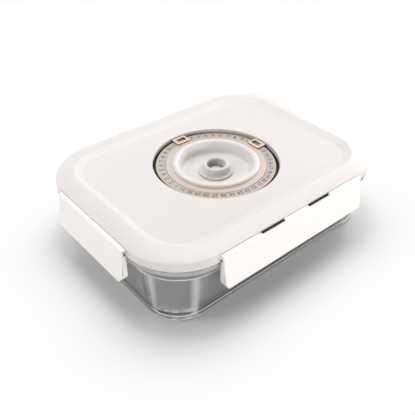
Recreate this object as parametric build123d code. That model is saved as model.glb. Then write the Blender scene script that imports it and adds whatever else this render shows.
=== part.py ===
from build123d import *
import math
import os

# Rectangular glass food container with a snap-lock lid, a date dial and a vacuum valve.
# Millimetres. The table is z = 0, X runs along the long side and Y along the short one.

# Plan of the lid: the crest is the upper edge of the sunk panel, and all else runs parallel to it
crest_length = 200.0
crest_width = 143.0
crest_corner_radius = 31.0
border_width = 14.0
recess_wall_run = 6.0
recess_depth = 2.5
border_drop = 3.1
crown_rise = 0.7

# Glass container
glass_height = 54.5
glass_wall = 3.4
glass_floor = 4.6
glass_taper = 4.3
foot_corner_radius = 25.5
foot_round = 2.2
inner_floor_round = 6.5
flange_thickness = 4.1
flange_overhang = 5.0
flange_skirt_gap = 0.3
flange_round = 1.2
flange_root_round = 0.8
rim_round = 1.3
rim_root_round = 0.2
base_kick_depth = 0.8
base_kick_inset = 9.0
kick_round = 0.5

# Lid walls
plate_thickness = 2.0
edge_thickness = 1.6
edge_round = 1.7
skirt_thickness = 1.5
skirt_reach = 2.1
skirt_clearance = 0.4
plug_thickness = 1.8
plug_reach = 3.6
plug_clearance = 0.5
crest_round = 3.0
foot_blend = 3.0
wall_tip_round = 0.5
panel_lap = 3.0

# Lid gasket
gasket_height = 2.7
gasket_rim_gap = 0.15
gasket_side_clearance = 0.2
gasket_slit_depth = 2.4
gasket_slit_height = 0.8
gasket_round = 0.5

# Dial pocket in the lid and the ring that turns in it
pocket_wall = 2.0
pocket_floor = 2.0
pocket_edge_round = 0.5
moat_width = 5.0
moat_depth = 3.6
ring_drop = 2.6
ring_thickness = 1.6
ring_width = 9.8
ring_side_gap = 2.7
ring_lift = 0.1
ring_bore_clearance = 0.08
ring_edge_round = 0.25
ring_rabbet_height = 0.75
bezel_width = 5.7
bezel_thickness = 1.0
bezel_gap = 0.15
bezel_side_gap = 0.1
bezel_edge_round = 0.3
shoulder_width = 3.3

# Frames over the ring that mark the date
window_length = 9.4
window_width = 13.0
window_thickness = 1.2
window_gap = 0.4
window_hole_length = 4.6
window_hole_width = 7.6
window_corner_radius = 1.2
window_hole_bevel = 0.5
window_wall_gap = 0.35
window_leg_thickness = 1.6
window_leg_width = 8.0

# Dish round the valve
dish_mouth_radius = 30.6
dish_lip_width = 4.3
dish_wall_run = 3.6
dish_depth = 10.2
dish_floor_thickness = 1.8
dish_lip_share = 0.9
dish_floor_blend = 2.5
spigot_step = 0.9
spigot_wall = 2.6
spigot_reach = 3.6
spigot_clearance = 0.1
dish_seal_thickness = 1.0
dish_seal_width = 4.4
retainer_height = 2.4
retainer_width = 6.4
retainer_lugs = 6
retainer_lug_width = 6.0
retainer_lug_height = 1.6
retainer_lug_reach = 1.4
retainer_round = 0.5

# Valve in the dish
collar_flange_radius = 14.0
collar_flange_height = 1.9
collar_flange_undercut = 0.35
collar_undercut_run = 1.4
collar_flange_round = 0.7
collar_body_radius = 11.3
collar_rim_radius = 10.8
collar_bore_radius = 7.6
collar_height = 8.0
collar_neck_radius = 8.9
collar_neck_clearance = 0.1
collar_lip_radius = 10.6
collar_lip_height = 1.3
collar_web_thickness = 1.5
collar_web_height = -0.6
port_radius = 0.8
port_circle_radius = 4.6
port_count = 6
valve_seal_radius = 6.4
valve_seal_thickness = 0.5
button_radius = 4.8
button_edge_height = 0.6
button_dome_rise = 1.3
button_stem_radius = 1.9
button_stem_clearance = 0.06
button_travel = 1.0
button_travel_spare = 0.2
button_foot_radius = 2.8
button_foot_height = 1.0
button_foot_gap = 0.1

# Latches
long_latch_length = 141.0
short_latch_length = 83.0
hinge_stand_out = 0.9
hinge_bead_radius = 1.0
hinge_clearance = 0.06
hinge_open_angle = 100.0
hinge_end_gap = 0.8
hinge_ledge_reach = 0.8
hinge_ledge_depth = 0.85
hinge_land_run = 3.2
hinge_cut_rise = 3.0
web_thickness = 0.8
latch_drop = 27.7
latch_thickness = 2.0
latch_top_reach = 2.7
latch_top_round = 1.8
latch_top_lean = 8.0
latch_face_hollow = 0.6
latch_ledge_gap = 0.3
grip_radius = 3.5
grip_stand_out = 6.4
latch_edge_round = 1.9
latch_corner_radius = 7.0
end_web_thickness = 2.2
end_web_drop = 4.6
rib_gap = 0.3
rib_thickness = 2.2
rib_root_thickness = 4.4
rib_end_inset = 16.0
slot_inner_offset = 12.0
slot_length = 23.0
slot_width = 2.6

# One overrun past a face serves every cut, and one tolerance every search for an edge
overrun = 1.0
edge_match = 0.05

# Heights worked out from the values above
flange_top = glass_height - skirt_reach - flange_skirt_gap
flange_low = flange_top - flange_thickness
roof_height = glass_height + gasket_rim_gap + gasket_height
border_height = roof_height + edge_thickness
crest_height = border_height + border_drop
panel_height = crest_height - recess_depth
ring_top = panel_height - ring_drop
ring_bottom = ring_top - ring_thickness
pocket_base = ring_bottom - ring_lift
pocket_under = pocket_base - pocket_floor
moat_low = pocket_base - moat_depth
moat_under = moat_low - pocket_floor
shoulder_height = ring_bottom + ring_rabbet_height + bezel_gap
dish_base = panel_height - dish_depth
dish_under = dish_base - dish_floor_thickness
hinge_height = border_height - hinge_bead_radius

# Offsets from the crest, counted outward
skirt_inner = border_width - skirt_thickness
rim_outer = skirt_inner - skirt_clearance
flange_outer = border_width
wall_outer = flange_outer - flange_overhang
wall_inner = wall_outer - glass_wall
wall_lean = glass_taper / flange_low
cavity_mouth = wall_inner + wall_lean * (glass_height - flange_low)
plug_outer = cavity_mouth - wall_lean * plug_reach - plug_clearance
plug_inner = plug_outer - plug_thickness
hinge_offset = border_width + hinge_stand_out

# Radii from the lid's centre, counted outward from the dish's mouth
dish_floor_radius = dish_mouth_radius - dish_wall_run
spigot_radius = dish_mouth_radius + spigot_step
retainer_outer_radius = spigot_radius + spigot_clearance + retainer_width
dish_rim_radius = dish_mouth_radius + dish_lip_width
shoulder_radius = dish_rim_radius + shoulder_width
bezel_outer_radius = dish_rim_radius + bezel_width
ring_outer_radius = shoulder_radius + ring_width
pocket_radius = ring_outer_radius + ring_side_gap
moat_inner_radius = pocket_radius - moat_width


def outline(offset, corner_radius=None):
    """A rounded rectangle that runs outside the crest by the offset."""
    radius = crest_corner_radius + offset if corner_radius is None else corner_radius
    return RectangleRounded(crest_length + 2 * offset, crest_width + 2 * offset, radius)


def profile(points, radii):
    """A closed face in the XZ plane, with a radius for each corner."""
    return make_face(Plane.XZ * FilletPolyline(*points, radius=radii, close=True))


def run_around(face):
    """Carries a profile, drawn outward from the crest, along four sides and round four corners."""
    half_x = crest_length / 2
    half_y = crest_width / 2
    side_x = half_x - crest_corner_radius
    side_y = half_y - crest_corner_radius
    solids = []
    for turn in range(4):
        reach, along = (half_x, side_y) if turn % 2 == 0 else (half_y, side_x)
        side = extrude(Pos(reach, 0, 0) * face, amount=along, both=True)
        bend = revolve(Pos(crest_corner_radius, 0, 0) * face, axis=Axis.Z, revolution_arc=90)
        bend = Pos(reach - crest_corner_radius, along, 0) * bend
        solids.append(Rot(0, 0, 90 * turn) * side)
        solids.append(Rot(0, 0, 90 * turn) * bend)
    ring = solids[0]
    for solid in solids[1:]:
        ring += solid
    return ring


def turned(points, radii):
    """A body turned about Z from a profile of radii and heights."""
    return revolve(profile(points, radii), axis=Axis.Z)


def border_top(offset):
    """Height of the border's upper face without its crown."""
    return crest_height - border_drop * offset / border_width


def make_glass():
    foot_offset = wall_outer - glass_taper
    lean_corner = (crest_corner_radius + wall_outer - foot_corner_radius) / flange_low
    inner_corner = foot_corner_radius - glass_wall
    inner_lean_corner = (crest_corner_radius + cavity_mouth - inner_corner) / glass_height

    def wall_section(height):
        radius = foot_corner_radius + lean_corner * height
        return Pos(0, 0, height) * outline(foot_offset + wall_lean * height, radius)

    def cavity_section(height):
        offset = foot_offset - glass_wall + wall_lean * height
        return Pos(0, 0, height) * outline(offset, inner_corner + inner_lean_corner * height)

    outer = loft([wall_section(0), wall_section(flange_top)], ruled=True)
    outer = fillet(outer.faces().sort_by(Axis.Z)[0].edges(), foot_round)
    cavity = loft([cavity_section(glass_floor), cavity_section(glass_height + overrun)], ruled=True)
    cavity = fillet(cavity.faces().sort_by(Axis.Z)[0].edges(), inner_floor_round)
    band = run_around(
        profile(
            [
                (wall_inner, flange_low),
                (flange_outer, flange_low),
                (flange_outer, flange_top),
                (rim_outer, flange_top),
                (rim_outer, glass_height),
                (wall_inner, glass_height),
            ],
            [0, flange_round, flange_round, rim_root_round, rim_round, 0],
        )
    )
    kick_outline = outline(foot_offset - base_kick_inset, foot_corner_radius - base_kick_inset)
    kick = extrude(kick_outline, base_kick_depth)
    kick = fillet(kick.faces().sort_by(Axis.Z)[-1].edges(), kick_round)
    glass = outer + band
    wall_line = wall_section(flange_low).wire()
    level = glass.edges().filter_by_position(Axis.Z, flange_low - edge_match, flange_low + edge_match)
    root = [edge for edge in level if wall_line.distance_to(edge.center()) < edge_match]
    glass = fillet(root, flange_root_round)
    return glass - cavity - kick


def make_lid_border():
    crown_offset = border_width / 2
    return run_around(
        profile(
            [
                (-recess_wall_run - panel_lap, panel_height),
                (-recess_wall_run, panel_height),
                (0, crest_height),
                (crown_offset, border_top(crown_offset) + crown_rise),
                (border_width, border_height),
                (border_width, glass_height - skirt_reach),
                (skirt_inner, glass_height - skirt_reach),
                (skirt_inner, roof_height),
                (plug_outer, roof_height),
                (plug_outer, glass_height - plug_reach),
                (plug_inner, glass_height - plug_reach),
                (plug_inner, border_top(plug_inner) - plate_thickness),
                (0, crest_height - plate_thickness),
                (-recess_wall_run, panel_height - plate_thickness),
                (-recess_wall_run - panel_lap, panel_height - plate_thickness),
            ],
            [
                0,
                foot_blend,
                crest_round,
                crest_corner_radius,
                edge_round,
                wall_tip_round,
                wall_tip_round,
                wall_tip_round,
                wall_tip_round,
                wall_tip_round,
                wall_tip_round,
                wall_tip_round,
                crest_round - plate_thickness,
                foot_blend + plate_thickness,
                0,
            ],
        )
    )


def make_lid():
    panel_offset = -recess_wall_run - panel_lap
    panel = Pos(0, 0, panel_height - plate_thickness) * extrude(outline(panel_offset), plate_thickness)
    lid = make_lid_border() + panel
    cup_height = panel_height - plate_thickness - pocket_under
    cup = Pos(0, 0, pocket_under) * extrude(Circle(pocket_radius + pocket_wall), cup_height)
    lid += cup
    lid += turned(
        [
            (moat_inner_radius - pocket_wall, moat_under),
            (pocket_radius + pocket_wall, moat_under),
            (pocket_radius + pocket_wall, pocket_base),
            (moat_inner_radius - pocket_wall, pocket_base),
        ],
        [pocket_edge_round, pocket_edge_round, 0, 0],
    )
    lid -= turned(
        [
            (moat_inner_radius, moat_low),
            (pocket_radius, moat_low),
            (pocket_radius, pocket_base),
            (moat_inner_radius, pocket_base),
        ],
        0,
    )
    lid -= Pos(0, 0, pocket_base) * extrude(Circle(pocket_radius), panel_height - pocket_base + overrun)
    lid -= Pos(0, 0, pocket_under - overrun) * extrude(
        Circle(spigot_radius + spigot_clearance), pocket_floor + 2 * overrun
    )
    circles = lid.edges().filter_by(GeomType.CIRCLE)
    at_panel = circles.filter_by_position(Axis.Z, panel_height - edge_match, panel_height + edge_match)
    mouth = [edge for edge in at_panel if abs(edge.radius - pocket_radius) < edge_match]
    lid = fillet(mouth, pocket_edge_round)
    for place, length, slots in latch_places():
        lid += place * hinge_land(length, slots)
        lid -= place * hinge_cut(length)
    return lid


def latch_places():
    """Where each latch's hinge lies, its length and whether its hinge line has slots."""
    half_x = crest_length / 2 + hinge_offset
    half_y = crest_width / 2 + hinge_offset
    return [
        (Pos(0, -half_y, hinge_height), long_latch_length, True),
        (Pos(0, half_y, hinge_height) * Rot(0, 0, 180), long_latch_length, False),
        (Pos(-half_x, 0, hinge_height) * Rot(0, 0, -90), short_latch_length, False),
        (Pos(half_x, 0, hinge_height) * Rot(0, 0, 90), short_latch_length, False),
    ]


def across(face, start, end):
    """A bar along X from start to end, from a face drawn outward (to -Y) and up from the hinge line."""
    hinge_plane = Plane(origin=(0, 0, 0), x_dir=(0, -1, 0), z_dir=(-1, 0, 0))
    return Pos(end, 0, 0) * extrude(hinge_plane * face, end - start)


def section(points, radii):
    """A closed face of outward reaches and heights, for a bar along a hinge line."""
    return make_face(FilletPolyline(*points, radius=radii, close=True))


def hinged_runs(length, slots):
    """The stretches of a hinge line that carry the bead."""
    half = length / 2
    if not slots:
        return [(-half, half)]
    inner = slot_inner_offset
    outer = slot_inner_offset + slot_length
    return [(-half, -outer), (-inner, inner), (outer, half)]


def hinge_land(length, slots):
    """The ledge of the lid that cradles the latch's bead."""
    inner = -hinge_land_run - hinge_stand_out
    low = -hinge_bead_radius - hinge_clearance - hinge_ledge_depth

    def top(reach):
        return border_top(hinge_offset + reach) - hinge_height

    face = section(
        [
            (inner, top(inner)),
            (hinge_ledge_reach, top(hinge_ledge_reach)),
            (hinge_ledge_reach, low),
            (-hinge_stand_out - skirt_thickness / 2, low - hinge_ledge_reach - hinge_stand_out),
            (-hinge_stand_out - skirt_thickness / 2, roof_height - hinge_height),
            (inner, roof_height - hinge_height),
        ],
        0,
    )
    land = None
    for start, end in hinged_runs(length, slots):
        bar = across(face, start, end)
        land = bar if land is None else land + bar
    return land


def hinge_cut(length):
    """The room in the lid for the bead and for the latch's web as it swings open."""
    radius = hinge_bead_radius + hinge_clearance
    lean = math.radians(hinge_open_angle)
    touch = (radius * math.cos(lean + math.pi / 2), radius * math.sin(lean + math.pi / 2))
    top = (touch[0] + hinge_cut_rise * math.cos(lean), touch[1] + hinge_cut_rise * math.sin(lean))
    reach = hinge_ledge_reach + overrun
    wedge = section([(0, 0), touch, top, (reach, top[1]), (reach, 0)], 0)
    half = length / 2 + hinge_end_gap
    return across(wedge + Circle(radius), -half, half)


def latch_section():
    """The latch's profile: bead, web, outer plate with its hollow face, and grip."""
    grip_reach = grip_stand_out - grip_radius
    grip_height = grip_radius - latch_drop
    inner_top = hinge_ledge_reach + latch_ledge_gap
    turn = math.radians(latch_top_lean)
    top_start = (hinge_bead_radius * math.sin(turn), hinge_bead_radius * math.cos(turn))
    face_top = (latch_top_reach, top_start[1] - (latch_top_reach - top_start[0]) * math.tan(turn))
    face_foot = (grip_stand_out, grip_height)
    lean = (face_foot[0] - face_top[0]) / (face_top[1] - face_foot[1])
    middle = (
        (face_top[0] + face_foot[0]) / 2 - latch_face_hollow,
        (face_top[1] + face_foot[1]) / 2,
    )
    inner_foot = (grip_reach, grip_height)
    inner_low = (grip_stand_out - latch_thickness - grip_radius * lean, grip_height + grip_radius)
    inner_high = (inner_top, -latch_thickness)
    web_low = hinge_bead_radius - web_thickness
    plate = make_face(
        [
            Line(top_start, face_top),
            ThreePointArc(face_top, middle, face_foot),
            Line(face_foot, inner_foot),
            Line(inner_foot, inner_low),
            Line(inner_low, inner_high),
            Line(inner_high, (inner_top, web_low)),
            Line((inner_top, web_low), (0, web_low)),
            Line((0, web_low), top_start),
        ]
    )
    plate = fillet(plate.vertices().sort_by_distance(face_top)[0], latch_top_round)
    return plate + Circle(hinge_bead_radius) + Pos(grip_reach, grip_height) * Circle(grip_radius)


def end_web_section():
    """The web that closes each end of the latch's hollow back, between its top, its plate and its grip."""
    grip_reach = grip_stand_out - grip_radius
    grip_height = grip_radius - latch_drop
    inner = flange_outer - hinge_offset + rib_gap
    return section(
        [
            (inner, -end_web_drop),
            (latch_top_reach, -end_web_drop),
            (grip_reach, grip_height),
            (inner, grip_height),
        ],
        [rib_gap, 0, 0, 0],
    )


def leaning_bar(length):
    """A bar that leans like the latch's outer face, with that face's two end edges rounded."""
    bar = Pos(0, -latch_top_reach) * Rectangle(length, 2 * grip_stand_out, align=(Align.CENTER, Align.MIN))
    bar = fillet(bar.vertices().group_by(Axis.Y)[0], latch_edge_round)
    lean = Vector(0, latch_top_reach - grip_stand_out, grip_radius - latch_drop)
    return extrude(bar, amount=2 * latch_drop, dir=lean, both=True)


def make_latch(length, slots):
    half = length / 2
    body = across(latch_section(), -half, half)
    for start in (-half, half - end_web_thickness):
        body += across(end_web_section(), start, start + end_web_thickness)
    height = latch_drop + hinge_bead_radius
    depth = grip_stand_out + 2 * grip_radius
    plan = Pos(0, hinge_bead_radius - height / 2) * Rectangle(length, height)
    low_corners = plan.vertices().group_by(Axis.Y)[0]
    plan = fillet(low_corners, latch_corner_radius)
    body = body & extrude(Plane.XZ * plan, depth, both=True) & leaning_bar(length)
    rim_face = flange_outer - hinge_offset
    rib_top = flange_low - hinge_height - rib_gap
    rib = section(
        [
            (rim_face + rib_gap, rib_top),
            (latch_top_reach, rib_top),
            (latch_top_reach, rib_top - rib_root_thickness),
            (rim_face + rib_gap, rib_top - rib_thickness),
        ],
        [rib_gap, 0, 0, rib_gap],
    )
    body += across(rib, rib_end_inset - half, half - rib_end_inset)
    if slots:
        slot_reach = slot_width - hinge_stand_out
        slot_box = Box(
            slot_length,
            2 * slot_width,
            2 * (hinge_bead_radius + overrun),
            align=(Align.CENTER, Align.MIN, Align.CENTER),
        )
        slot_middle = slot_inner_offset + slot_length / 2
        for side in (-1, 1):
            body -= Pos(side * slot_middle, -slot_reach, 0) * slot_box
    return body


def make_gasket():
    inner = plug_outer + gasket_side_clearance
    outer = skirt_inner - gasket_side_clearance
    low = glass_height + gasket_rim_gap
    middle = low + gasket_height / 2
    return run_around(
        profile(
            [
                (inner, low),
                (outer, low),
                (outer, roof_height),
                (inner, roof_height),
                (inner, middle + gasket_slit_height / 2),
                (inner + gasket_slit_depth, middle),
                (inner, middle - gasket_slit_height / 2),
            ],
            [gasket_round, gasket_round, gasket_round, gasket_round, 0, 0, 0],
        )
    )


def make_dish():
    lip = (dish_rim_radius - dish_mouth_radius) / 2 * dish_lip_share
    spigot_low = pocket_under - spigot_reach
    return turned(
        [
            (collar_neck_radius + collar_neck_clearance, dish_under),
            (collar_neck_radius + collar_neck_clearance, dish_base),
            (dish_floor_radius, dish_base),
            (dish_mouth_radius, panel_height),
            (dish_rim_radius, panel_height),
            (dish_rim_radius, shoulder_height),
            (shoulder_radius, shoulder_height),
            (shoulder_radius, pocket_base),
            (spigot_radius, pocket_base),
            (spigot_radius, spigot_low),
            (spigot_radius - spigot_wall, spigot_low),
            (spigot_radius - spigot_wall, dish_under),
        ],
        [0, 0, dish_floor_blend, lip, lip, 0, 0, 0, 0, wall_tip_round, wall_tip_round, wall_tip_round],
    )


def make_dish_seal():
    top = pocket_under
    inner = spigot_radius + spigot_clearance
    return turned(
        [
            (inner, top - dish_seal_thickness),
            (inner + dish_seal_width, top - dish_seal_thickness),
            (inner + dish_seal_width, top),
            (inner, top),
        ],
        0,
    )


def make_dish_retainer():
    top = pocket_under - dish_seal_thickness
    inner = spigot_radius + spigot_clearance
    ring = turned(
        [
            (inner, top - retainer_height),
            (retainer_outer_radius, top - retainer_height),
            (retainer_outer_radius, top),
            (inner, top),
        ],
        [0, retainer_round, 0, 0],
    )
    lug = Pos(retainer_outer_radius, 0, top - retainer_height / 2) * Box(
        2 * retainer_lug_reach, retainer_lug_width, retainer_lug_height
    )
    lug = fillet(lug.edges().filter_by(Axis.Z), retainer_round)
    for number in range(retainer_lugs):
        ring += Rot(0, 0, 360 * number / retainer_lugs) * lug
    return ring


def make_date_ring():
    bore = shoulder_radius + ring_bore_clearance
    rabbet = bezel_outer_radius + bezel_side_gap
    return turned(
        [
            (bore, ring_bottom),
            (ring_outer_radius, ring_bottom),
            (ring_outer_radius, ring_top),
            (rabbet, ring_top),
            (rabbet, ring_bottom + ring_rabbet_height),
            (bore, ring_bottom + ring_rabbet_height),
        ],
        [0, 0, ring_edge_round, ring_edge_round, 0, 0],
    )


def make_bezel_ring():
    top = shoulder_height + bezel_thickness
    return turned(
        [
            (dish_rim_radius, shoulder_height),
            (bezel_outer_radius, shoulder_height),
            (bezel_outer_radius, top),
            (dish_rim_radius, top),
        ],
        [0, 0, bezel_edge_round, 0],
    )


def make_date_window():
    """A small frame over the ring, on a leg that stands in the gap round it."""
    outer_reach = math.sqrt((pocket_radius - window_wall_gap) ** 2 - (window_width / 2) ** 2)
    inner_reach = outer_reach - window_length
    low = ring_top + window_gap
    middle = (inner_reach + outer_reach) / 2
    frame = Pos(middle, 0) * RectangleRounded(window_length, window_width, window_corner_radius)
    plate = Pos(0, 0, low) * extrude(frame, window_thickness)
    plate = fillet(plate.faces().sort_by(Axis.Z)[-1].edges(), window_hole_bevel)
    hole = Rectangle(window_hole_length, window_hole_width)
    hole_middle = inner_reach + window_length / 2 - window_corner_radius / 2
    plate -= Pos(hole_middle, 0, low) * extrude(hole, window_thickness)
    leg_middle = ring_outer_radius + window_wall_gap + window_leg_thickness / 2
    leg = Box(
        window_leg_thickness,
        window_leg_width,
        low - moat_low,
        align=(Align.CENTER, Align.CENTER, Align.MIN),
    )
    return plate + Pos(leg_middle, 0, moat_low) * leg


def make_collar():
    top = dish_base + collar_height
    rim_half = (collar_rim_radius - collar_bore_radius) / 2
    web_top = dish_base + collar_web_height
    web_low = web_top - collar_web_thickness
    flange_top = dish_base + collar_flange_height
    lip_low = dish_under - collar_lip_height
    guide = button_stem_radius + button_stem_clearance
    collar = turned(
        [
            (guide, web_low),
            (guide, web_top),
            (collar_bore_radius, web_top),
            (collar_bore_radius, top),
            (collar_rim_radius, top),
            (collar_rim_radius, top - 2 * rim_half),
            (collar_body_radius, flange_top),
            (collar_flange_radius, flange_top),
            (collar_flange_radius, dish_base + collar_flange_undercut),
            (collar_flange_radius - collar_undercut_run, dish_base + collar_flange_undercut),
            (collar_flange_radius - collar_undercut_run, dish_base),
            (collar_neck_radius, dish_base),
            (collar_neck_radius, dish_under),
            (collar_lip_radius, dish_under),
            (collar_lip_radius - collar_lip_height / 2, lip_low),
            (collar_bore_radius, lip_low),
            (collar_bore_radius, web_low),
        ],
        [
            0,
            0,
            collar_flange_undercut,
            rim_half * dish_lip_share,
            rim_half * dish_lip_share,
            rim_half,
            collar_flange_undercut,
            collar_flange_round,
            collar_flange_round / 2,
            0,
            0,
            0,
            0,
            0,
            collar_flange_undercut,
            collar_flange_undercut,
            collar_flange_undercut,
        ],
    )
    port = Pos(0, 0, web_low - overrun) * extrude(Circle(port_radius), collar_web_thickness + 2 * overrun)
    for number in range(port_count):
        collar -= Rot(0, 0, 360 * number / port_count) * Pos(port_circle_radius, 0, 0) * port
    return collar


def make_valve_seal():
    low = dish_base + collar_web_height
    inner = button_stem_radius + button_stem_clearance
    return turned(
        [
            (inner, low),
            (valve_seal_radius, low),
            (valve_seal_radius, low + valve_seal_thickness / 2),
            (inner + valve_seal_thickness, low + valve_seal_thickness),
            (inner, low + valve_seal_thickness),
        ],
        0,
    )


def make_button():
    web_top = dish_base + collar_web_height
    web_low = web_top - collar_web_thickness
    dome_low = web_top + valve_seal_thickness + button_travel + button_travel_spare
    dome_edge = dome_low + button_edge_height
    dome_top = dome_edge + button_dome_rise
    foot_top = web_low - button_foot_gap
    dome_radius = (button_radius**2 + button_dome_rise**2) / (2 * button_dome_rise)
    half_turn = math.asin(button_radius / dome_radius) / 2
    foot_low = foot_top - button_foot_height
    foot_side = foot_top - button_foot_height / 2
    dome_middle = (
        dome_radius * math.sin(half_turn),
        0,
        dome_top - dome_radius + dome_radius * math.cos(half_turn),
    )
    dome = make_face(
        [
            Line((0, 0, foot_low), (button_foot_radius / 2, 0, foot_low)),
            Line((button_foot_radius / 2, 0, foot_low), (button_foot_radius, 0, foot_side)),
            Line((button_foot_radius, 0, foot_side), (button_foot_radius, 0, foot_top)),
            Line((button_foot_radius, 0, foot_top), (button_stem_radius, 0, foot_top)),
            Line((button_stem_radius, 0, foot_top), (button_stem_radius, 0, dome_low)),
            Line((button_stem_radius, 0, dome_low), (button_radius, 0, dome_low)),
            Line((button_radius, 0, dome_low), (button_radius, 0, dome_edge)),
            ThreePointArc((button_radius, 0, dome_edge), dome_middle, (0, 0, dome_top)),
            Line((0, 0, dome_top), (0, 0, foot_low)),
        ]
    )
    return revolve(dome, axis=Axis.Z)


def main():
    os.makedirs("parts", exist_ok=True)
    places = latch_places()
    latch_names = ["latch_front", "latch_back", "latch_left", "latch_right"]
    nodes = {
        "glass_body": make_glass(),
        "lid_shell": make_lid(),
        "lid_gasket": make_gasket(),
        "vacuum_dish": make_dish(),
        "dish_seal": make_dish_seal(),
        "dish_retainer": make_dish_retainer(),
        "date_ring": make_date_ring(),
        "bezel_ring": make_bezel_ring(),
        "date_window_right": make_date_window(),
        "date_window_back": Rot(0, 0, 90) * make_date_window(),
        "valve_collar": make_collar(),
        "valve_seal": make_valve_seal(),
        "valve_button": make_button(),
    }
    for name, (place, length, slots) in zip(latch_names, places):
        nodes[name] = place * make_latch(length, slots)
    for name, solid in nodes.items():
        export_step(solid, f"parts/{name}.step")


main()
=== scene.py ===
import math

import bpy
from mathutils import Matrix, Vector


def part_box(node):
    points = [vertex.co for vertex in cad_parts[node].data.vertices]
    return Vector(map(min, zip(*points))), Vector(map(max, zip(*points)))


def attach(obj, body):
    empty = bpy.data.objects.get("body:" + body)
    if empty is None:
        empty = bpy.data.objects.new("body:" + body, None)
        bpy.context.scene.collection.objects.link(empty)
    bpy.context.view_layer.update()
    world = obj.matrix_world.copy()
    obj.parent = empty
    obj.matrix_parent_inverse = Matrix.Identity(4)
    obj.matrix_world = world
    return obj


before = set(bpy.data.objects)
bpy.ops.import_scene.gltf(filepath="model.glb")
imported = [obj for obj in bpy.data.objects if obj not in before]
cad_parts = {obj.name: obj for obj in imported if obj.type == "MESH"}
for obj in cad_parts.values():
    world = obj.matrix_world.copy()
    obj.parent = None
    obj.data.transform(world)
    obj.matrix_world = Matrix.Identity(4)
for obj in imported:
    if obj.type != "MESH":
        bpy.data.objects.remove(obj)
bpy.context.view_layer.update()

# Lengths are in metres and texture scales in waves a metre, unless a comment says otherwise.

# The camera, fitted to the photograph: its angles, and its place from the middle of the lid's crest
PHOTO_PIXELS = 415
FOCAL_PIXELS = 560.3
SENSOR_WIDTH_MM = 36.0
CAMERA_AZIMUTH = math.radians(-40.46)
CAMERA_ELEVATION = math.radians(37.43)
CAMERA_ROLL = math.radians(0.18)
CAMERA_DISTANCE = 0.44476
CAMERA_ASIDE = -0.00679
CAMERA_ALONG = -0.03948
CREST_HEIGHT = 0.06205
CLIP_START = 0.01
CLIP_END = 50

# Softboxes: name, place, width and height, and watts
LIGHT_TARGET = (0, 0, 0.03)
SOFTBOXES = [
    ("top_softbox", (0.3, 0.3, 1.6), (1.4, 1.4), 20.4),
    ("back_right_softbox", (0.9, 0.8, 1.1), (1.4, 1.4), 1.3),
    ("back_softbox", (-0.3, 1.2, 1.0), (1.4, 1.2), 3.7),
    ("right_softbox", (1.4, 0.2, 0.8), (1.2, 1.0), 6.9),
    ("right_low_softbox", (1.6, 0.1, 0.35), (1.6, 0.5), 9.6),
    ("front_low_softbox", (0.3, -1.4, 0.22), (1.2, 0.36), 11.6),
    ("left_low_softbox", (-1.4, -0.2, 0.22), (1.2, 0.36), 3.1),
    ("left_softbox", (-1.2, 0.5, 0.8), (0.8, 0.8), 7.2),
]

# The surroundings as they light the container, and as they are seen
WORLD_COLOUR = (0.97, 0.985, 1.0, 1)
WORLD_STRENGTH = 0.02
SEEN_WHITE = (1, 1, 1, 1)

# The floor: its half side, its colour where it lights and where it is seen, and its finish
FLOOR_REACH = 12.0
FLOOR_LIGHTING = (0.9, 0.89, 0.89)
FLOOR_SEEN = (0.86, 0.855, 0.857)
FLOOR_ROUGHNESS = 0.85
FLOOR_SPECULAR = 0.1

# It fades to plain white between these distances from a rectangle under the container's middle
FADE_HALF_SIZE = (0.0617, 0.0414)
FADE_START = 0.0573
FADE_END = 0.137
FADE_POWER = 0.433

# The figures of the dial; the font's size is given for one unit of a figure's height
DAYS = 31
MONTHS = 12
FIGURE_RADIUS = 0.0437
FIGURE_HEIGHT = 0.0035
FIGURE_WEIGHT = 0.00012
FIGURE_LIFT = 0.00002
FONT_SIZE = 1.4
FONT_STEPS = 3
TICK_RADIUS = 0.0466
TICK_LENGTH = 0.0009
TICK_WIDTH = 0.00016

# Plastics: colour, the shade that mottles it, and roughness
LID_PLASTIC = ((0.76, 0.722, 0.703), (0.731, 0.694, 0.676), 0.38)
# Lighter than the lid's white, partly as painted light for the light on the latches' upright faces
LATCH_PLASTIC = ((0.97, 0.935, 0.895), (0.945, 0.91, 0.87), 0.34)
# Darkened partly as painted shade for the shade deep in the dish
DISH_PLASTIC = ((0.77, 0.745, 0.725), (0.74, 0.715, 0.695), 0.32)
PLASTIC_MOTTLE = 60
PLASTIC_PATCHES = 240
PLASTIC_SPREAD = 0.06
PLASTIC_WAVES = 25
PLASTIC_WAVE_DEPTH = 0.00004
PLASTIC_GRAIN = 5200
PLASTIC_GRAIN_DEPTH = 0.00001
PLASTIC_SPECULAR = 0.45
PLASTIC_SUBSURFACE = 0.08
PLASTIC_SUBSURFACE_RADIUS = (0.0022, 0.0017, 0.0014)
# Painted shade: the dark colour laid on the lid deep in the groove round the dial and on the edge behind
# the slots
PAINTED_SHADE_COLOUR = (0.03, 0.028, 0.026)

# Silicones: colour and shade
VALVE_SILICONE = ((0.68, 0.655, 0.635), (0.655, 0.63, 0.61))
GASKET_SILICONE = ((0.78, 0.77, 0.76), (0.74, 0.73, 0.72))
SILICONE_MOTTLE = 220
SILICONE_PATCHES = 500
SILICONE_ROUGHNESS = (0.42, 0.56)
SILICONE_GRAIN = 6500
SILICONE_GRAIN_DEPTH = 0.000012
SILICONE_SHEEN = 0.06
SILICONE_SHEEN_ROUGHNESS = 0.4
SILICONE_SUBSURFACE = 0.15
SILICONE_SUBSURFACE_RADIUS = (0.003, 0.0025, 0.002)

# Metals: colour, shade and roughness
RING_METAL = ((0.345, 0.303, 0.275), (0.315, 0.277, 0.25), 0.54)
BEZEL_METAL = ((0.4, 0.34, 0.3), (0.37, 0.315, 0.277), 0.5)
WINDOW_METAL = ((0.6, 0.48, 0.37), (0.55, 0.43, 0.33), 0.24)
METAL_BLOTCHES = 120
METAL_SMOOTHER = 0.08
METAL_ROUGHER = 0.1
METAL_ANISOTROPY = 0.3
TURNING_LINES = 5200
TURNING_DEPTH = 0.000008

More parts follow.
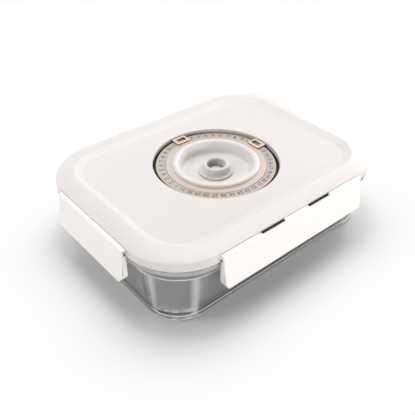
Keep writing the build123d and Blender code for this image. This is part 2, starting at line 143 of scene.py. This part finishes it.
# Ink
INK_COLOUR = (0.05, 0.04, 0.033)
INK_LIGHTER = 1.35
INK_PATCHES = 3000
INK_ROUGHNESS = (0.5, 0.7)

# The glass: its colours, and its bloom, the share of light that it scatters instead of letting through
GLASS_COLOUR = (0.93, 0.935, 0.935)
# Painted shade: the colour of the dark line beside the first corner streak
GLASS_PAINTED_SHADE_LINE = (0.12, 0.12, 0.12)
GLASS_IOR = 1.5
WALL_BLOOM = 0.06
FOOT_BLOOM = 0.14
BAND_BLOOM = 0.24
# Bloom that paints highlights: in the corner streaks and in the fine rings
STREAK_PAINTED_HIGHLIGHT = 0.34
RING_PAINTED_HIGHLIGHT = 0.8
GLASS_FILM = 90
GLASS_ROUGHNESS = (0.0, 0.03)
GLASS_WAVES = 28
GLASS_WAVE_DEPTH = 0.00006

# Its outer corners' centre and radius at the table, their change a metre of height, and its outer skin
CORNER_CENTRE = (0.0792, 0.0507)
CORNER_CENTRE_SLOPE = -0.2121
CORNER_RADIUS = 0.0255
CORNER_RADIUS_SLOPE = 0.302
OUTER_SKIN = 0.0010

# The upright streaks of its corners, which are painted highlights, and the painted dark line beside them:
# degrees at the table and degrees a metre
STREAK_ANGLE = 14
STREAK_SLOPE = 170
STREAK_HALF_WIDTH = 10
STREAK_SPAN = (0.0056, 0.0395)
LINE_ANGLE = 1.4
LINE_SLOPE = 237
LINE_HALF_WIDTH = 1.6

# The fine bright rings round it, painted highlights at the foot's two edges and below the rim band: height
# and half width
PAINTED_HIGHLIGHT_RINGS = ((0.0060, 0.00065), (0.0021, 0.0006), (0.0404, 0.0007))

# The heights between which the bloom of its foot fades, and that of the rim band's lower edge
FOOT_LOW = 0.0035
FOOT_HIGH = 0.0085
BAND_LOW = 0.0478

# The groove round the dial, whose bottom no light reaches and is painted in shade: its two radii, and the
# heights of its painted shade
GROOVE_RADII = (0.0452, 0.0512)
GROOVE_LOW = 0.0512
GROOVE_DARK = 0.0546
GROOVE_LIT = 0.0560

# The two slots in the front hinge line, behind which the lid's edge lies in the dark and is painted in
# shade
SLOT_SPAN = (0.0110, 0.0360)
SLOT_FACE = -0.0842
SLOT_LOW = 0.0562
SLOT_DARK = 0.0578
SLOT_LIT = 0.0592


def fill(tree, node, inputs):
    """Sets a node's inputs, or links them where a value comes from another node."""
    for key, value in inputs.items():
        if isinstance(value, bpy.types.NodeSocket):
            tree.links.new(value, node.inputs[key])
        else:
            node.inputs[key].default_value = value


def add(tree, kind, inputs=None, **settings):
    """Adds a node, sets its properties and fills its inputs."""
    node = tree.nodes.new(kind)
    for key, value in settings.items():
        setattr(node, key, value)
    fill(tree, node, inputs or {})
    return node


def shader(name):
    """A new material, its node tree, its principled shader and its output."""
    material = bpy.data.materials.new(name)
    material.use_nodes = True
    tree = material.node_tree
    tree.nodes.clear()
    principled = add(tree, "ShaderNodeBsdfPrincipled")
    output = add(tree, "ShaderNodeOutputMaterial", {"Surface": principled.outputs["BSDF"]})
    return material, tree, principled, output


def noise(tree, scale, detail, vector=None):
    """Noise from 0 to 1 over the object's own coordinates, or over other ones."""
    if vector is None:
        vector = add(tree, "ShaderNodeTexCoord").outputs["Object"]
    inputs = {"Vector": vector, "Scale": scale, "Detail": detail}
    return add(tree, "ShaderNodeTexNoise", inputs).outputs["Fac"]


def ranged(tree, value, low, high):
    """Carries a value from 0..1 to low..high."""
    inputs = {"Value": value, "To Min": low, "To Max": high}
    return add(tree, "ShaderNodeMapRange", inputs).outputs["Result"]


def smooth(tree, value, start, end):
    """0 before start and 1 after end, with a soft step between them; start may be the larger."""
    inputs = {"Value": value, "From Min": start, "From Max": end}
    return add(tree, "ShaderNodeMapRange", inputs, interpolation_type="SMOOTHSTEP").outputs["Result"]


def mixed(tree, factor, first, second):
    """A colour between two others, the first of which may come from another node."""
    if not isinstance(first, bpy.types.NodeSocket):
        first = (*first, 1)
    inputs = {"Factor": factor, "A": first, "B": (*second, 1)}
    return add(tree, "ShaderNodeMix", inputs, data_type="RGBA").outputs["Result"]


def bump(tree, height, distance, normal=None):
    """Turns a height from 0..1 into a bumped normal."""
    inputs = {"Height": height, "Distance": distance}
    if normal is not None:
        inputs["Normal"] = normal
    return add(tree, "ShaderNodeBump", inputs).outputs["Normal"]


def maths(tree, operation, first, second=0.0):
    """A sum, product or other result of one or two values."""
    return add(tree, "ShaderNodeMath", {0: first, 1: second}, operation=operation).outputs["Value"]


def joined(tree, operation, first, *others):
    """Several values added, multiplied or compared in turn."""
    for other in others:
        first = maths(tree, operation, first, other)
    return first


def between(tree, value, limits):
    """1 between two limits and 0 outside them."""
    low, high = limits
    above = maths(tree, "GREATER_THAN", value, low)
    below = maths(tree, "LESS_THAN", value, high)
    return maths(tree, "MULTIPLY", above, below)


def linear(tree, value, start, slope):
    """A value that is start at 0 and changes by slope."""
    return maths(tree, "ADD", maths(tree, "MULTIPLY", value, slope), start)


def ridge(tree, value, middle, half_width):
    """1 where a value is at its middle, falling softly to 0 at half a width from it."""
    away = maths(tree, "ABSOLUTE", maths(tree, "SUBTRACT", value, middle))
    return smooth(tree, away, half_width, 0.0)


def coordinates(tree):
    """The object's own X, Y and Z."""
    place = add(tree, "ShaderNodeTexCoord").outputs["Object"]
    parts = add(tree, "ShaderNodeSeparateXYZ", {"Vector": place}).outputs
    return parts["X"], parts["Y"], parts["Z"]


def length(tree, x, y):
    """The length of a flat vector."""
    flat = add(tree, "ShaderNodeCombineXYZ", {"X": x, "Y": y}).outputs["Vector"]
    return add(tree, "ShaderNodeVectorMath", {0: flat}, operation="LENGTH").outputs["Value"]


def past(tree, value, limit):
    """How far a value lies past a limit on either side of 0, and below 0 within it."""
    return maths(tree, "SUBTRACT", maths(tree, "ABSOLUTE", value), limit)


def outward(tree, aside, along):
    """The distance from a rectangle, from how far a point lies past its sides."""
    return length(tree, maths(tree, "MAXIMUM", aside), maths(tree, "MAXIMUM", along))


def lid_hollows(tree):
    """Painted shade on the lid: 1 deep in the groove round the dial and on the edge behind the slots, and 0
    elsewhere.
    """
    x, y, z = coordinates(tree)
    groove = joined(tree, "MULTIPLY", between(tree, length(tree, x, y), GROOVE_RADII),
                    maths(tree, "GREATER_THAN", z, GROOVE_LOW), smooth(tree, z, GROOVE_LIT, GROOVE_DARK))
    slots = joined(tree, "MULTIPLY", between(tree, maths(tree, "ABSOLUTE", x), SLOT_SPAN),
                   maths(tree, "LESS_THAN", y, SLOT_FACE), maths(tree, "GREATER_THAN", z, SLOT_LOW),
                   smooth(tree, z, SLOT_LIT, SLOT_DARK))
    return maths(tree, "MAXIMUM", groove, slots)


def moulded_plastic(name, colour, shade, roughness, shade_mask=None):
    """Polypropylene: faint mottling of the colour, a fine moulded grain and long soft waves, and painted
    shade where a mask of it is given.
    """
    material, tree, principled, _ = shader(name)
    base = mixed(tree, noise(tree, PLASTIC_MOTTLE, detail=4), shade, colour)
    # Painted shade where the mask says
    if shade_mask is not None:
        base = mixed(tree, shade_mask(tree), base, PAINTED_SHADE_COLOUR)
    patches = noise(tree, PLASTIC_PATCHES, detail=5)
    waves = bump(tree, noise(tree, PLASTIC_WAVES, detail=2), PLASTIC_WAVE_DEPTH)
    grain = noise(tree, PLASTIC_GRAIN, detail=2)
    fill(tree, principled, {
        "Base Color": base,
        "Roughness": ranged(tree, patches, roughness - PLASTIC_SPREAD, roughness + PLASTIC_SPREAD),
        "Normal": bump(tree, grain, PLASTIC_GRAIN_DEPTH, waves),
        "Specular IOR Level": PLASTIC_SPECULAR,
        "Subsurface Weight": PLASTIC_SUBSURFACE,
        "Subsurface Radius": PLASTIC_SUBSURFACE_RADIUS,
    })
    return material


def silicone(name, colour, shade):
    """Soft matt silicone with a dusty bloom."""
    material, tree, principled, _ = shader(name)
    fill(tree, principled, {
        "Base Color": mixed(tree, noise(tree, SILICONE_MOTTLE, detail=4), shade, colour),
        "Roughness": ranged(tree, noise(tree, SILICONE_PATCHES, detail=5), *SILICONE_ROUGHNESS),
        "Normal": bump(tree, noise(tree, SILICONE_GRAIN, detail=2), SILICONE_GRAIN_DEPTH),
        "Sheen Weight": SILICONE_SHEEN,
        "Sheen Roughness": SILICONE_SHEEN_ROUGHNESS,
        "Subsurface Weight": SILICONE_SUBSURFACE,
        "Subsurface Radius": SILICONE_SUBSURFACE_RADIUS,
    })
    return material


def spun_metal(name, colour, shade, roughness):
    """Anodised sheet with fine turning lines round the dial's axis."""
    material, tree, principled, _ = shader(name)
    x, y, z = coordinates(tree)
    turning = add(tree, "ShaderNodeCombineXYZ", {"X": length(tree, x, y), "Y": z}).outputs["Vector"]
    lines = noise(tree, TURNING_LINES, detail=3, vector=turning)
    fill(tree, principled, {
        "Base Color": mixed(tree, noise(tree, METAL_BLOTCHES, detail=4), shade, colour),
        "Roughness": ranged(tree, lines, roughness - METAL_SMOOTHER, roughness + METAL_ROUGHER),
        "Normal": bump(tree, lines, TURNING_DEPTH),
        "Metallic": 1.0,
        "Anisotropic": METAL_ANISOTROPY,
    })
    return material


def glass_marks(tree, x, y, z):
    """Painted highlights on the glass's outer skin, as bright streaks and rings, and a painted dark line
    beside the first streak.
    """
    aside = past(tree, x, linear(tree, z, CORNER_CENTRE[0], CORNER_CENTRE_SLOPE))
    along = past(tree, y, linear(tree, z, CORNER_CENTRE[1], CORNER_CENTRE_SLOPE))
    wall = linear(tree, z, CORNER_RADIUS, CORNER_RADIUS_SLOPE)
    depth = maths(tree, "SUBTRACT", outward(tree, aside, along), wall)
    skin = maths(tree, "GREATER_THAN", depth, -OUTER_SKIN)
    span = between(tree, z, STREAK_SPAN)
    angle = maths(tree, "DEGREES", maths(tree, "ARCTAN2", along, aside))
    other_angle = maths(tree, "SUBTRACT", 90.0, angle)
    streak_at = linear(tree, z, STREAK_ANGLE, STREAK_SLOPE)
    line_at = linear(tree, z, LINE_ANGLE, LINE_SLOPE)
    streaks = [ridge(tree, turn, streak_at, STREAK_HALF_WIDTH) for turn in (angle, other_angle)]
    rings = [ridge(tree, z, height, half_width) for height, half_width in PAINTED_HIGHLIGHT_RINGS]
    line = ridge(tree, angle, line_at, LINE_HALF_WIDTH)
    return (
        joined(tree, "MULTIPLY", joined(tree, "MAXIMUM", *streaks), span, skin),
        joined(tree, "MULTIPLY", joined(tree, "MAXIMUM", *rings), skin),
        joined(tree, "MULTIPLY", line, span, skin),
    )


def clear_glass(name):
    """Pressed glass, faintly wavy, with more bloom in its foot and rim band than in its walls; more bloom
    in streaks at its corners and in fine rings paints highlights, and a dark line beside one streak paints
    shade.
    """
    material, tree, principled, _ = shader(name)
    x, y, z = coordinates(tree)
    streaks, rings, line = glass_marks(tree, x, y, z)
    band = maths(tree, "GREATER_THAN", z, BAND_LOW)
    bloom = joined(
        tree, "ADD",
        ranged(tree, smooth(tree, z, FOOT_HIGH, FOOT_LOW), WALL_BLOOM, FOOT_BLOOM),
        maths(tree, "MULTIPLY", band, BAND_BLOOM),
        # Painted highlights: the corner streaks and the fine rings
        maths(tree, "MULTIPLY", streaks, STREAK_PAINTED_HIGHLIGHT),
        maths(tree, "MULTIPLY", rings, RING_PAINTED_HIGHLIGHT),
    )
    fill(tree, principled, {
        # Painted shade: the dark line beside the first streak
        "Base Color": mixed(tree, line, GLASS_COLOUR, GLASS_PAINTED_SHADE_LINE),
        "Transmission Weight": maths(tree, "SUBTRACT", 1.0, bloom),
        "IOR": GLASS_IOR,
        "Roughness": ranged(tree, noise(tree, GLASS_FILM, detail=4), *GLASS_ROUGHNESS),
        "Normal": bump(tree, noise(tree, GLASS_WAVES, detail=1), GLASS_WAVE_DEPTH),
    })
    return material


def printed(name, colour):
    """Matt ink that lies on the metal."""
    material, tree, principled, _ = shader(name)
    patches = noise(tree, INK_PATCHES, detail=3)
    lighter = tuple(channel * INK_LIGHTER for channel in colour)
    fill(tree, principled, {
        "Base Color": mixed(tree, patches, colour, lighter),
        "Roughness": ranged(tree, patches, *INK_ROUGHNESS),
    })
    return material


def assign(node, material):
    """Gives a CAD node one material in all its slots."""
    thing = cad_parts[node]
    if not thing.material_slots:
        thing.data.materials.append(material)
    for place in thing.material_slots:
        place.material = material


def mesh_piece(name, vertices, faces, material):
    """A new mesh object with one material."""
    mesh = bpy.data.meshes.new(name)
    mesh.from_pydata(vertices, [], faces)
    mesh.materials.append(material)
    piece = bpy.data.objects.new(name, mesh)
    bpy.context.collection.objects.link(piece)
    return piece


def rectangle(half_x, half_y):
    """The corners of a flat rectangle round the origin."""
    return [(-half_x, -half_y, 0), (half_x, -half_y, 0), (half_x, half_y, 0), (-half_x, half_y, 0)]


def figure_mesh(text):
    """Vertices and faces of one number, centred on the origin with its feet towards -Y."""
    curve = bpy.data.curves.new("figure", "FONT")
    curve.body = text
    curve.align_x = "CENTER"
    curve.align_y = "CENTER"
    curve.size = FIGURE_HEIGHT * FONT_SIZE
    curve.offset = FIGURE_WEIGHT
    curve.resolution_u = FONT_STEPS
    carrier = bpy.data.objects.new("figure", curve)
    bpy.context.collection.objects.link(carrier)
    bpy.context.view_layer.update()
    mesh = bpy.data.meshes.new_from_object(carrier)
    vertices = [vertex.co.copy() for vertex in mesh.vertices]
    faces = [tuple(face.vertices) for face in mesh.polygons]
    bpy.data.objects.remove(carrier)
    bpy.data.curves.remove(curve)
    bpy.data.meshes.remove(mesh)
    return vertices, faces


def dial_print(material):
    """Day and month numbers round the ring, with a tick outside each."""
    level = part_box("date_ring")[1].z + FIGURE_LIFT
    numbers = [str(number) for last in (DAYS, MONTHS) for number in range(1, last + 1)]
    tick = rectangle(TICK_WIDTH / 2, TICK_LENGTH / 2)
    vertices = []
    faces = []

    def lay(points, polygons, turn, radius):
        start = len(vertices)
        spot = Matrix.Rotation(turn, 4, "Z") @ Matrix.Translation((0, radius, level))
        vertices.extend(spot @ Vector((point[0], point[1], 0)) for point in points)
        faces.extend(tuple(start + index for index in polygon) for polygon in polygons)

    for number, text in enumerate(numbers):
        turn = -2 * math.pi * (number + 0.5) / len(numbers)
        points, polygons = figure_mesh(text)
        lay(points, polygons, turn, FIGURE_RADIUS)
        lay(tick, [(0, 1, 2, 3)], turn, TICK_RADIUS)
    piece = mesh_piece("dial_numbers", vertices, faces, material)
    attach(piece, "date_dial")


def make_camera():
    """The photograph's viewpoint."""
    back = Vector((
        math.sin(CAMERA_AZIMUTH) * math.cos(CAMERA_ELEVATION),
        -math.cos(CAMERA_AZIMUTH) * math.cos(CAMERA_ELEVATION),
        math.sin(CAMERA_ELEVATION),
    ))
    level = Vector((math.cos(CAMERA_AZIMUTH), math.sin(CAMERA_AZIMUTH), 0))
    above = back.cross(level)
    right = level * math.cos(CAMERA_ROLL) + above * math.sin(CAMERA_ROLL)
    up = above * math.cos(CAMERA_ROLL) - level * math.sin(CAMERA_ROLL)
    place = right * CAMERA_ASIDE + up * CAMERA_ALONG + back * CAMERA_DISTANCE
    place.z += CREST_HEIGHT
    data = bpy.data.cameras.new("camera")
    data.sensor_width = SENSOR_WIDTH_MM
    data.lens = SENSOR_WIDTH_MM * FOCAL_PIXELS / PHOTO_PIXELS
    data.clip_start = CLIP_START
    data.clip_end = CLIP_END
    camera = bpy.data.objects.new("camera", data)
    camera.matrix_world = Matrix((
        (right.x, up.x, back.x, place.x),
        (right.y, up.y, back.y, place.y),
        (right.z, up.z, back.z, place.z),
        (0, 0, 0, 1),
    ))
    bpy.context.collection.objects.link(camera)
    bpy.context.scene.camera = camera


def seen_rays(tree):
    """1 for rays from the camera, a mirror or glass, and 0 for rays that light something."""
    path = add(tree, "ShaderNodeLightPath").outputs
    seen = (path["Is Camera Ray"], path["Is Glossy Ray"], path["Is Transmission Ray"])
    return joined(tree, "MAXIMUM", *seen)


def make_floor():
    """A wide pale floor that keeps the shadow, and that fades to plain white where it is seen."""
    material, tree, principled, output = shader("floor_white")
    seen = seen_rays(tree)
    fill(tree, principled, {
        "Base Color": mixed(tree, seen, FLOOR_LIGHTING, FLOOR_SEEN),
        "Roughness": FLOOR_ROUGHNESS,
        "Specular IOR Level": FLOOR_SPECULAR,
    })
    white = add(tree, "ShaderNodeEmission", {"Color": SEEN_WHITE, "Strength": 1.0})
    x, y, _ = coordinates(tree)
    distance = outward(tree, past(tree, x, FADE_HALF_SIZE[0]), past(tree, y, FADE_HALF_SIZE[1]))
    whiter = maths(tree, "POWER", smooth(tree, distance, FADE_START, FADE_END), FADE_POWER)
    fade = maths(tree, "MULTIPLY", whiter, seen)
    inputs = {0: fade, 1: principled.outputs["BSDF"], 2: white.outputs["Emission"]}
    fill(tree, output, {"Surface": add(tree, "ShaderNodeMixShader", inputs).outputs["Shader"]})
    floor = mesh_piece("floor", rectangle(FLOOR_REACH, FLOOR_REACH), [(0, 1, 2, 3)], material)


def make_world():
    """Even pale surroundings, seen as white."""
    world = bpy.data.worlds.new("studio")
    world.use_nodes = True
    tree = world.node_tree
    tree.nodes.clear()
    soft = add(tree, "ShaderNodeBackground", {"Color": WORLD_COLOUR, "Strength": WORLD_STRENGTH})
    white = add(tree, "ShaderNodeBackground", {"Color": SEEN_WHITE, "Strength": 1.0})
    inputs = {0: seen_rays(tree), 1: soft.outputs["Background"], 2: white.outputs["Background"]}
    choice = add(tree, "ShaderNodeMixShader", inputs)
    add(tree, "ShaderNodeOutputWorld", {"Surface": choice.outputs["Shader"]})
    bpy.context.scene.world = world


def area_light(name, place, size, watts):
    """A softbox that faces the container."""
    data = bpy.data.lights.new(name, "AREA")
    data.shape = "RECTANGLE"
    data.size, data.size_y = size
    data.energy = watts
    light = bpy.data.objects.new(name, data)
    light.location = place
    light.rotation_euler = (Vector(LIGHT_TARGET) - Vector(place)).to_track_quat("-Z", "Y").to_euler()
    bpy.context.collection.objects.link(light)


def dress():
    """Gives every CAD node its material."""
    dressing = [
        (clear_glass("glass_clear"), ["glass_body"]),
        # The lid gets painted shade in its groove round the dial and behind its slots
        (moulded_plastic("lid_satin_white", *LID_PLASTIC, shade_mask=lid_hollows), ["lid_shell"]),
        (moulded_plastic("latch_satin_white", *LATCH_PLASTIC),
         ["latch_front", "latch_back", "latch_left", "latch_right"]),
        (moulded_plastic("dish_satin_white", *DISH_PLASTIC), ["vacuum_dish", "dish_retainer"]),
        (silicone("valve_silicone_white", *VALVE_SILICONE), ["valve_collar", "valve_seal", "valve_button"]),
        (silicone("gasket_silicone_clear", *GASKET_SILICONE), ["lid_gasket", "dish_seal"]),
        (spun_metal("ring_champagne", *RING_METAL), ["date_ring"]),
        (spun_metal("bezel_champagne", *BEZEL_METAL), ["bezel_ring"]),
        (spun_metal("window_champagne", *WINDOW_METAL), ["date_window_right", "date_window_back"]),
    ]
    for material, nodes in dressing:
        for node in nodes:
            assign(node, material)


dress()
dial_print(printed("dial_ink", INK_COLOUR))
make_camera()
make_floor()
make_world()
for name, place, size, watts in SOFTBOXES:
    area_light(name, place, size, watts)
bpy.context.scene.view_settings.view_transform = "Standard"
